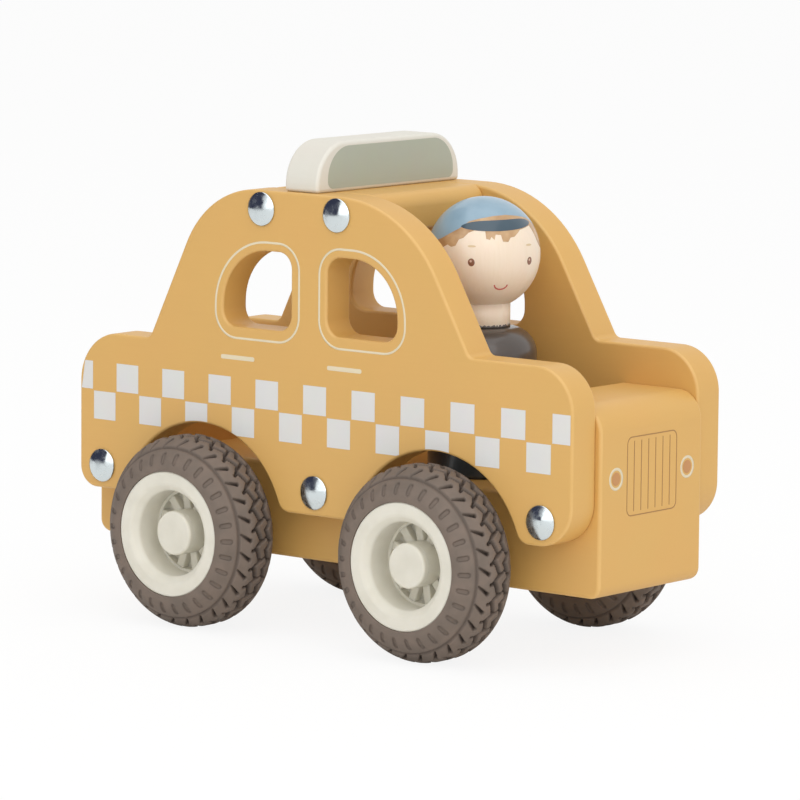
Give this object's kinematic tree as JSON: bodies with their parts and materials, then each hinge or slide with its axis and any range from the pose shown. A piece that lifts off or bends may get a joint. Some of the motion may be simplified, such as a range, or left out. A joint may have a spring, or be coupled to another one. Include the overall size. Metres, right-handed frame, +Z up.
{
  "type": "toy taxi",
  "caption": "Wooden toy taxi with free-rolling rubber-tyred wheels, open cab, roof sign, checker band and a loose peg-doll driver.",
  "frame": {"origin": "on the ground, under the middle of the body, where the wheels stand", "axes": "+X towards the nose, +Y towards the car's left side, +Z up"},
  "size_m": [0.1732, 0.092, 0.1326],
  "materials": {
    "ochre_painted_wood": "satin paint",
    "cream_painted_wood": "satin paint",
    "bare_beech": "sanded",
    "polished_steel": "polished",
    "drawn_steel": "drawn",
    "brown_rubber": "moulded, matt",
    "cream_plastic": "moulded, satin",
    "nylon": "moulded",
    "shirt_painted_wood": "gloss paint",
    "doll_wood": "clear varnish"
  },
  "bodies": {
    "car": {"chassis_beam": "ochre_painted_wood", "nose_block": "ochre_painted_wood", "tail_block": "ochre_painted_wood", "roof_board": "ochre_painted_wood", "right_panel": "ochre_painted_wood", "left_panel": "ochre_painted_wood", "roof_sign": "cream_painted_wood", "nose_dowels": "bare_beech", "tail_dowels": "bare_beech", "sign_dowels": "bare_beech", "right_roof_pins": "polished_steel", "right_sill_pins": "polished_steel", "left_roof_pins": "polished_steel", "left_sill_pins": "polished_steel", "front_bushes": "nylon", "rear_bushes": "nylon"},
    "front_wheels": {"front_axle": "drawn_steel", "front_right_hub": "cream_plastic", "front_left_hub": "cream_plastic", "front_right_tyre": "brown_rubber", "front_left_tyre": "brown_rubber", "front_right_cap": "cream_plastic", "front_left_cap": "cream_plastic"},
    "rear_wheels": {"rear_axle": "drawn_steel", "rear_right_hub": "cream_plastic", "rear_left_hub": "cream_plastic", "rear_right_tyre": "brown_rubber", "rear_left_tyre": "brown_rubber", "rear_right_cap": "cream_plastic", "rear_left_cap": "cream_plastic"},
    "driver": {"driver_body": "shirt_painted_wood"},
    "driver_head": {"driver_head": "doll_wood"}
  },
  "joints": [
    {"name": "front_axle_spin", "type": "hinge", "parent": "car", "child": "front_wheels", "pos_m": [0.04008, 0, 0.026], "axis": [0, 1, 0], "continuous": true},
    {"name": "rear_axle_spin", "type": "hinge", "parent": "car", "child": "rear_wheels", "pos_m": [-0.04063, 0, 0.026], "axis": [0, 1, 0], "continuous": true},
    {"name": "driver_lift", "type": "slide", "parent": "car", "child": "driver", "axis": [0, 0, 1], "range_m": [0, 0.08]},
    {"name": "driver_turn", "type": "hinge", "parent": "driver", "child": "driver_head", "pos_m": [0.0304, 0, 0.0843], "axis": [0, 0, 1], "continuous": true}
  ]
}
